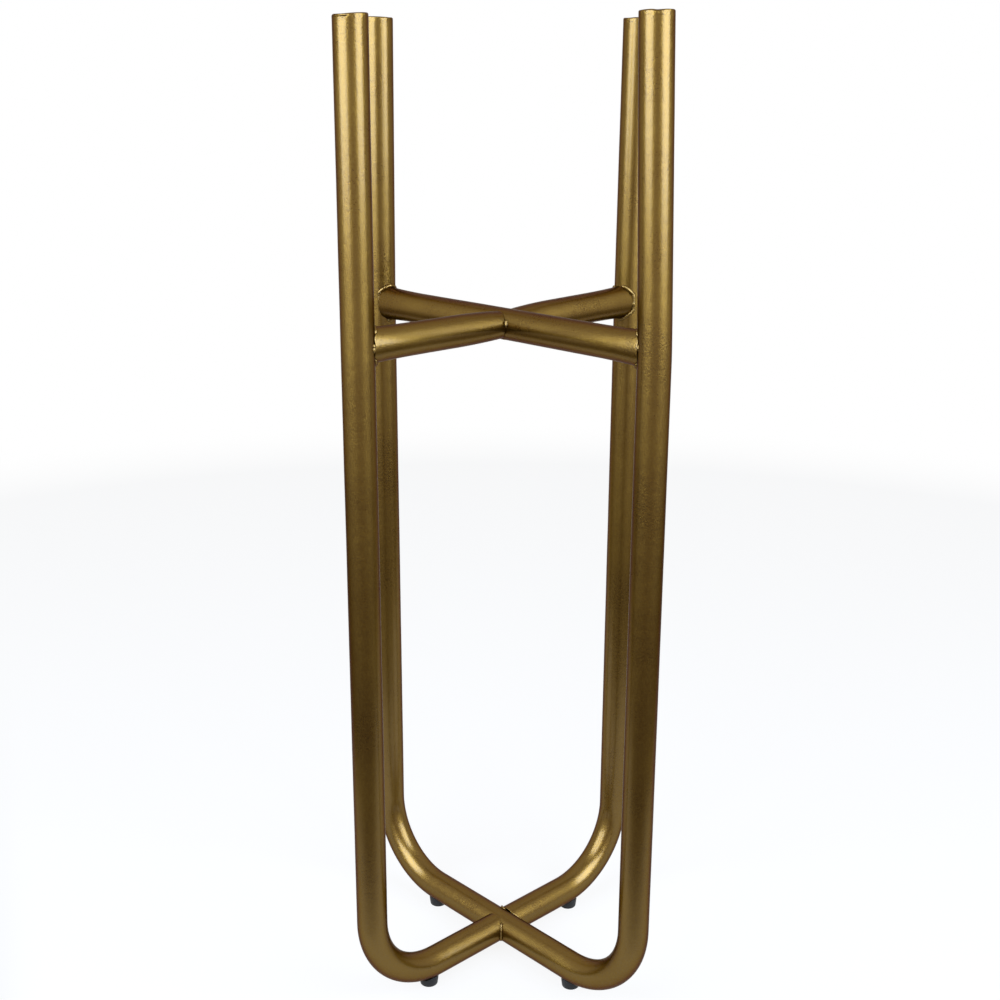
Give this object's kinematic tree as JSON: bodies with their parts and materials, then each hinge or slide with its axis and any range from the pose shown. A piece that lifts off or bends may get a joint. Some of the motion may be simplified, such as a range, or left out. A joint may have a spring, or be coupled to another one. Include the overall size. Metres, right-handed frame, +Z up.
{
  "type": "plant stand",
  "caption": "Tall plant stand of bent round tube: two crossed upright frames hold a pot on a cross brace between four legs.",
  "frame": {"origin": "on the ground, under the point where the two frames cross", "axes": "+Z up, -Y towards the viewer of the picture, the frames on the diagonals between +X and +Y"},
  "size_m": [0.1858, 0.1858, 0.608],
  "materials": {
    "gold_paint": "satin metallic gold spray paint with a fine grain",
    "black_rubber": "satin black moulded rubber"
  },
  "bodies": {
    "root": {"through_u_tube": "gold_paint", "j_tube_front_left": "gold_paint", "j_tube_rear_right": "gold_paint", "brace_through_tube": "gold_paint", "brace_half_tube_front_left": "gold_paint", "brace_half_tube_rear_right": "gold_paint", "top_cap_front_left": "gold_paint", "top_cap_front_right": "gold_paint", "top_cap_rear_left": "gold_paint", "top_cap_rear_right": "gold_paint", "brace_weld_front_left": "gold_paint", "brace_weld_front_right": "gold_paint", "brace_weld_rear_left": "gold_paint", "brace_weld_rear_right": "gold_paint", "brace_crossing_weld_front_left": "gold_paint", "brace_crossing_weld_rear_right": "gold_paint", "base_crossing_weld_front_left": "gold_paint", "base_crossing_weld_rear_right": "gold_paint", "rubber_foot_front_left": "black_rubber", "rubber_foot_front_right": "black_rubber", "rubber_foot_rear_left": "black_rubber", "rubber_foot_rear_right": "black_rubber"}
  },
  "joints": []
}
